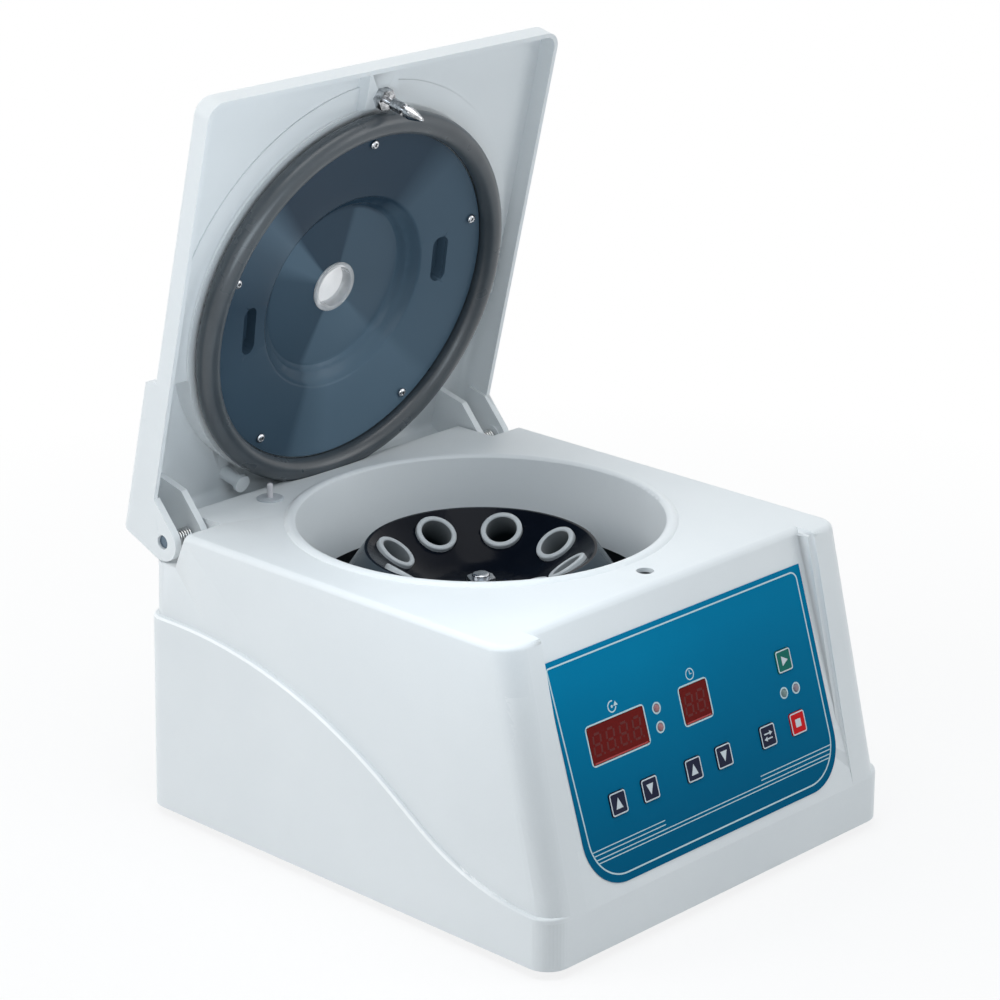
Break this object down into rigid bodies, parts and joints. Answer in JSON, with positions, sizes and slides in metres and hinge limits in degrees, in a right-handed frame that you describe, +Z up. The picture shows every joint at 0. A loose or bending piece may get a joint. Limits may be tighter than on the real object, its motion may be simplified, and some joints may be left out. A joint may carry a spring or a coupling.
{
  "type": "low-speed bench centrifuge",
  "caption": "Bench centrifuge with a sprung hinged lid held open, a deep round bowl, an angle rotor with tube sleeves and a sunk sloping control panel with displays and keys.",
  "frame": {"origin": "middle of the outline seen from above, on the plane of the four feet's undersides", "axes": "+X to the right as seen from the control panel, +Y towards the lid hinge at the rear, +Z up"},
  "size_m": [0.322, 0.388, 0.4898],
  "materials": {
    "housing_plastic": "fine satin moulded ABS",
    "zinc_sheet": "zinc plated sheet steel",
    "zinc_screws": "bright zinc plate",
    "rubber": "matt black rubber",
    "chamber_paint": "semi-gloss black enamel",
    "motor_paint": "black paint",
    "turned_steel": "turned steel",
    "rotor_coat": "gloss black coat on aluminium",
    "sleeve_plastic": "satin grey nylon",
    "liner_plastic": "gloss blue-black moulding",
    "gasket_rubber": "smooth grey silicone rubber",
    "window_plastic": "clear acrylic",
    "chromed": "bright chrome plate",
    "spring_wire": "bright zinc plated wire",
    "solenoid_paint": "black coil housing",
    "plunger_plastic": "natural nylon",
    "grommet_plastic": "grey nylon",
    "switch_plastic": "black phenolic",
    "overlay_film": "satin printed polyester film",
    "key_navy": "navy print under film",
    "key_green": "green print under film",
    "key_red": "red print under film",
    "display_red": "dark red filter",
    "led_plastic": "milky lens",
    "board_green": "green solder mask",
    "black_plastic": "black nylon"
  },
  "bodies": {
    "housing": {"housing_shell": "housing_plastic", "base_plate": "zinc_sheet", "base_screws": "zinc_screws", "foot_1": "rubber", "foot_2": "rubber", "foot_3": "rubber", "foot_4": "rubber", "chamber_bowl": "chamber_paint", "shaft_boot": "rubber", "damper_1": "rubber", "damper_2": "rubber", "damper_3": "rubber", "motor_plate": "zinc_sheet", "motor_body": "motor_paint", "motor_screws": "zinc_screws", "hinge_pin_left": "turned_steel", "hinge_pin_right": "turned_steel", "torsion_spring_left": "spring_wire", "torsion_spring_right": "spring_wire", "latch_bracket": "zinc_sheet", "latch_solenoid": "solenoid_paint", "latch_spring": "spring_wire", "plunger_grommet": "grommet_plastic", "plunger_spring": "spring_wire", "lid_switch": "switch_plastic", "panel_overlay": "overlay_film", "display_speed": "display_red", "display_time": "display_red", "panel_leds": "led_plastic", "control_board": "board_green", "power_board": "board_green", "mains_inlet": "black_plastic"},
    "rotor": {"rotor_body": "rotor_coat", "tube_sleeve_1": "sleeve_plastic", "tube_sleeve_2": "sleeve_plastic", "tube_sleeve_3": "sleeve_plastic", "tube_sleeve_4": "sleeve_plastic", "tube_sleeve_5": "sleeve_plastic", "tube_sleeve_6": "sleeve_plastic", "tube_sleeve_7": "sleeve_plastic", "tube_sleeve_8": "sleeve_plastic", "rotor_nut": "turned_steel", "motor_shaft": "turned_steel"},
    "lid": {"lid_shell": "housing_plastic", "lid_liner": "liner_plastic", "liner_screws": "zinc_screws", "lid_gasket": "gasket_rubber", "viewing_window": "window_plastic", "latch_pin": "chromed", "latch_pin_nut": "chromed"},
    "latch": {"latch_slide": "zinc_sheet"},
    "plunger": {"switch_plunger": "plunger_plastic"},
    "rocker": {"power_rocker": "black_plastic"},
    "key_start_body": {"key_start": "key_green"},
    "key_stop_body": {"key_stop": "key_red"},
    "key_mode_body": {"key_mode": "key_navy"},
    "key_speed_up_body": {"key_speed_up": "key_navy"},
    "key_speed_down_body": {"key_speed_down": "key_navy"},
    "key_time_up_body": {"key_time_up": "key_navy"},
    "key_time_down_body": {"key_time_down": "key_navy"}
  },
  "joints": [
    {"name": "lid_hinge", "type": "hinge", "parent": "housing", "child": "lid", "pos_m": [0, 0.1529, 0.1911], "axis": [1, 0, 0], "range_deg": [0, 76.1], "stiffness_Nm_per_rad": 0.5, "springref_deg": -34.38, "deforming": ["lid_gasket", "torsion_spring_left", "torsion_spring_right"]},
    {"name": "rotor_spin", "type": "hinge", "parent": "housing", "child": "rotor", "pos_m": [0, 0.0175, 0.106], "axis": [0, 0, 1], "continuous": true},
    {"name": "latch_travel", "type": "slide", "parent": "housing", "child": "latch", "axis": [1, 0, 0], "range_m": [0, 0.004], "stiffness_N_per_m": 200, "springref_m": -0.004, "deforming": ["latch_spring"]},
    {"name": "plunger_travel", "type": "slide", "parent": "housing", "child": "plunger", "axis": [0, 0, -1], "range_m": [0, 0.002], "deforming": ["plunger_spring"]},
    {"name": "rocker_tilt", "type": "hinge", "parent": "housing", "child": "rocker", "pos_m": [-0.104, 0.16773, 0.08396], "axis": [0, -0.0291, 0.9996], "range_deg": [0, 14]},
    {"name": "key_start_press", "type": "slide", "parent": "housing", "child": "key_start_body", "axis": [0, 0.9543, -0.299], "range_m": [0, 0.0005], "stiffness_N_per_m": 600, "springref_m": -0.0006},
    {"name": "key_stop_press", "type": "slide", "parent": "housing", "child": "key_stop_body", "axis": [0, 0.9543, -0.299], "range_m": [0, 0.0005], "stiffness_N_per_m": 600, "springref_m": -0.0006},
    {"name": "key_mode_press", "type": "slide", "parent": "housing", "child": "key_mode_body", "axis": [0, 0.9543, -0.299], "range_m": [0, 0.0005], "stiffness_N_per_m": 600, "springref_m": -0.0006},
    {"name": "key_speed_up_press", "type": "slide", "parent": "housing", "child": "key_speed_up_body", "axis": [0, 0.9543, -0.299], "range_m": [0, 0.0005], "stiffness_N_per_m": 600, "springref_m": -0.0006},
    {"name": "key_speed_down_press", "type": "slide", "parent": "housing", "child": "key_speed_down_body", "axis": [0, 0.9543, -0.299], "range_m": [0, 0.0005], "stiffness_N_per_m": 600, "springref_m": -0.0006},
    {"name": "key_time_up_press", "type": "slide", "parent": "housing", "child": "key_time_up_body", "axis": [0, 0.9543, -0.299], "range_m": [0, 0.0005], "stiffness_N_per_m": 600, "springref_m": -0.0006},
    {"name": "key_time_down_press", "type": "slide", "parent": "housing", "child": "key_time_down_body", "axis": [0, 0.9543, -0.299], "range_m": [0, 0.0005], "stiffness_N_per_m": 600, "springref_m": -0.0006}
  ],
  "couplings": [
    {"joint": "plunger_travel", "follows": "lid_hinge", "m_per_rad": 0.0015}
  ]
}
